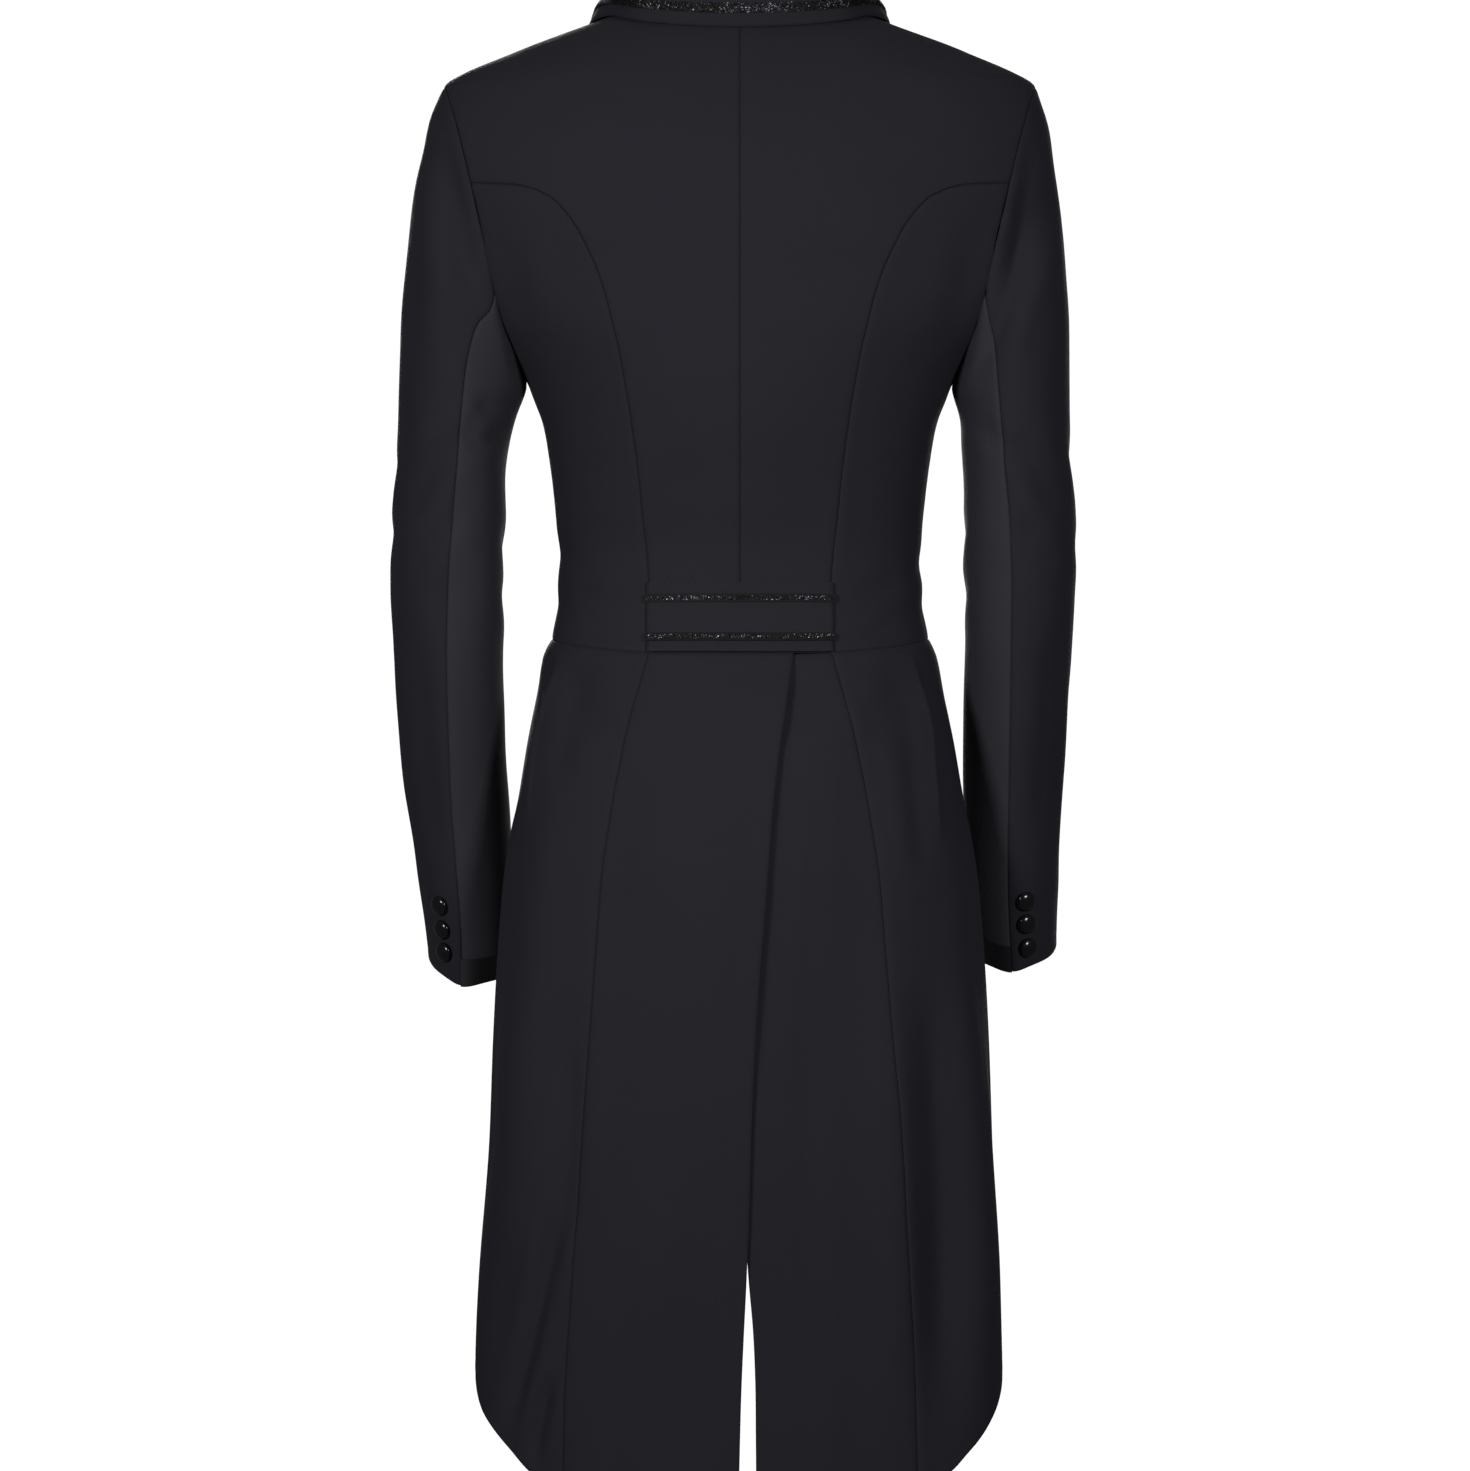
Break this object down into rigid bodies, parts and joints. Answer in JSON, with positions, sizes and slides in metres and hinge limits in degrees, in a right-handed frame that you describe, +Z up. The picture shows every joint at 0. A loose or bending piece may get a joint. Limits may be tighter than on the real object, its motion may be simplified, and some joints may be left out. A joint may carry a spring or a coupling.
{
  "type": "dressage tailcoat",
  "caption": "Hollow worn-shape riding tailcoat in dark twill with shaped back seams, half belt, cut-away front and long split tails.",
  "frame": {"origin": "the middle of the neck opening at the height of the nape seam, where the wearer's neck and shoulders carry the coat", "axes": "+Z up, the front faces -Y, the back and tails face +Y, the wearer's left is +X"},
  "size_m": [0.4659, 0.2295, 1.0373],
  "materials": {
    "twill": "fine dark stretch twill, matte",
    "under_sleeve_twill": "the same twill seen along its nap, a shade lighter",
    "cuff_satin": "smooth black band inside the cuff vent",
    "glitter_trim": "black piping with small silver glitter",
    "button": "polished black domed button"
  },
  "bodies": {
    "root": {"back_centre_left": "twill", "side_back_left": "twill", "front_left": "twill", "lapel_left": "twill", "tail_back_left": "twill", "tail_side_left": "twill", "top_sleeve_left": "twill", "under_sleeve_left": "under_sleeve_twill", "cuff_band_left": "cuff_satin", "cuff_button_left_1": "button", "cuff_button_left_2": "button", "cuff_button_left_3": "button", "back_centre_right": "twill", "side_back_right": "twill", "front_right": "twill", "lapel_right": "twill", "tail_back_right": "twill", "tail_side_right": "twill", "top_sleeve_right": "twill", "under_sleeve_right": "under_sleeve_twill", "cuff_band_right": "cuff_satin", "cuff_button_right_1": "button", "cuff_button_right_2": "button", "cuff_button_right_3": "button", "collar": "twill", "belt": "twill", "collar_glitter": "glitter_trim", "belt_glitter_lower": "glitter_trim", "belt_glitter_upper": "glitter_trim", "front_button_1": "button", "front_button_2": "button", "front_button_3": "button"}
  },
  "joints": []
}
